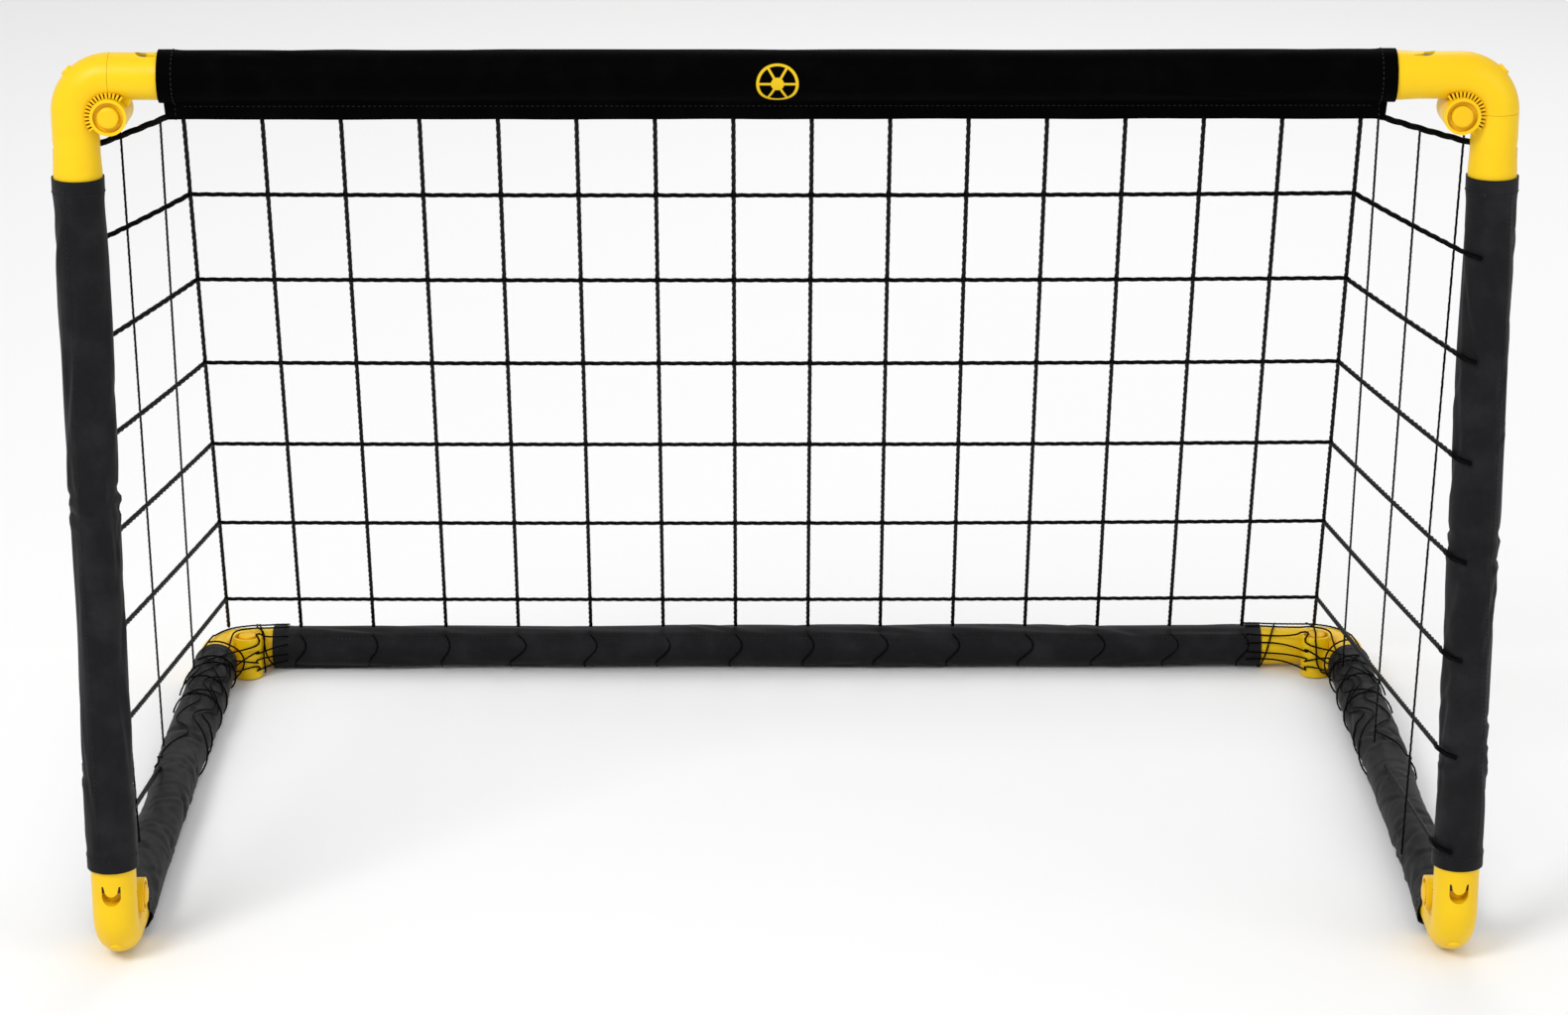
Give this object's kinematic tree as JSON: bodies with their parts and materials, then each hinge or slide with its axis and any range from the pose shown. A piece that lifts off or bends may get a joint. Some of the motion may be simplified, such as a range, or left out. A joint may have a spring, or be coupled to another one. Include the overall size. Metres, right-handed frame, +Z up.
{
  "type": "folding mini goal",
  "caption": "Free-standing folding mini goal: sleeved tube frame, push-button corner joints and a sloping cord net.",
  "frame": {"origin": "on the ground at the middle of the footprint", "axes": "+Z up, +X to the right of someone who faces the mouth from the front, +Y from the mouth to the back bar"},
  "size_m": [0.8998, 0.6042, 0.6019],
  "materials": {
    "frame_tube": "satin",
    "sleeve_fabric": "woven polyester",
    "corner_plastic": "moulded",
    "button_plastic": "moulded",
    "gear_plastic": "moulded",
    "pin_steel": "zinc plated",
    "spring_steel": "drawn wire",
    "net_cord": "twisted polyethylene cord"
  },
  "bodies": {
    "base": {"left_base_bar_tube": "frame_tube", "left_base_bar_sleeve": "sleeve_fabric", "right_base_bar_tube": "frame_tube", "right_base_bar_sleeve": "sleeve_fabric", "back_bar_tube": "frame_tube", "back_bar_sleeve": "sleeve_fabric", "front_left_socket": "corner_plastic", "front_left_lock_spring": "spring_steel", "front_right_socket": "corner_plastic", "front_right_lock_spring": "spring_steel", "back_left_bend": "corner_plastic", "back_left_socket": "corner_plastic", "back_left_hinge_pin": "pin_steel", "back_left_lock_spring": "spring_steel", "back_right_bend": "corner_plastic", "back_right_socket": "corner_plastic", "back_right_hinge_pin": "pin_steel", "back_right_lock_spring": "spring_steel", "net_back": "net_cord", "net_left": "net_cord", "net_right": "net_cord"},
    "front_frame": {"left_post_tube": "frame_tube", "left_post_sleeve": "sleeve_fabric", "right_post_tube": "frame_tube", "right_post_sleeve": "sleeve_fabric", "crossbar_tube": "frame_tube", "crossbar_sleeve": "sleeve_fabric", "front_left_bend": "corner_plastic", "front_left_hinge_pin": "pin_steel", "front_right_bend": "corner_plastic", "front_right_hinge_pin": "pin_steel", "top_left_bend": "corner_plastic", "top_left_socket": "corner_plastic", "top_left_hinge_pin": "pin_steel", "top_left_lock_spring": "spring_steel", "top_right_bend": "corner_plastic", "top_right_socket": "corner_plastic", "top_right_hinge_pin": "pin_steel", "top_right_lock_spring": "spring_steel"},
    "top_left_button": {"top_left_button": "button_plastic", "top_left_lock_gear": "gear_plastic"},
    "top_right_button": {"top_right_button": "button_plastic", "top_right_lock_gear": "gear_plastic"},
    "front_left_button": {"front_left_button": "button_plastic", "front_left_lock_gear": "gear_plastic"},
    "front_right_button": {"front_right_button": "button_plastic", "front_right_lock_gear": "gear_plastic"},
    "back_left_button": {"back_left_button": "button_plastic", "back_left_lock_gear": "gear_plastic"},
    "back_right_button": {"back_right_button": "button_plastic", "back_right_lock_gear": "gear_plastic"}
  },
  "joints": [
    {"name": "frame_fold", "type": "hinge", "parent": "base", "child": "front_frame", "pos_m": [0, -0.2614, 0.0384], "axis": [-1, 0, 0], "range_deg": [0, 90], "deforming": ["net_back", "net_left", "net_right"]},
    {"name": "top_left_button_press", "type": "slide", "parent": "front_frame", "child": "top_left_button", "axis": [0, 1, 0], "range_m": [0, 0.004], "stiffness_N_per_m": 250, "springref_m": -0.008, "deforming": ["top_left_lock_spring"]},
    {"name": "top_right_button_press", "type": "slide", "parent": "front_frame", "child": "top_right_button", "axis": [0, 1, 0], "range_m": [0, 0.004], "stiffness_N_per_m": 250, "springref_m": -0.008, "deforming": ["top_right_lock_spring"]},
    {"name": "front_left_button_press", "type": "slide", "parent": "base", "child": "front_left_button", "axis": [-1, 0, 0], "range_m": [0, 0.004], "stiffness_N_per_m": 250, "springref_m": -0.008, "deforming": ["front_left_lock_spring"]},
    {"name": "front_right_button_press", "type": "slide", "parent": "base", "child": "front_right_button", "axis": [1, 0, 0], "range_m": [0, 0.004], "stiffness_N_per_m": 250, "springref_m": -0.008, "deforming": ["front_right_lock_spring"]},
    {"name": "back_left_button_press", "type": "slide", "parent": "base", "child": "back_left_button", "axis": [0, 0, -1], "range_m": [0, 0.004], "stiffness_N_per_m": 250, "springref_m": -0.008, "deforming": ["back_left_lock_spring"]},
    {"name": "back_right_button_press", "type": "slide", "parent": "base", "child": "back_right_button", "axis": [0, 0, -1], "range_m": [0, 0.004], "stiffness_N_per_m": 250, "springref_m": -0.008, "deforming": ["back_right_lock_spring"]}
  ]
}
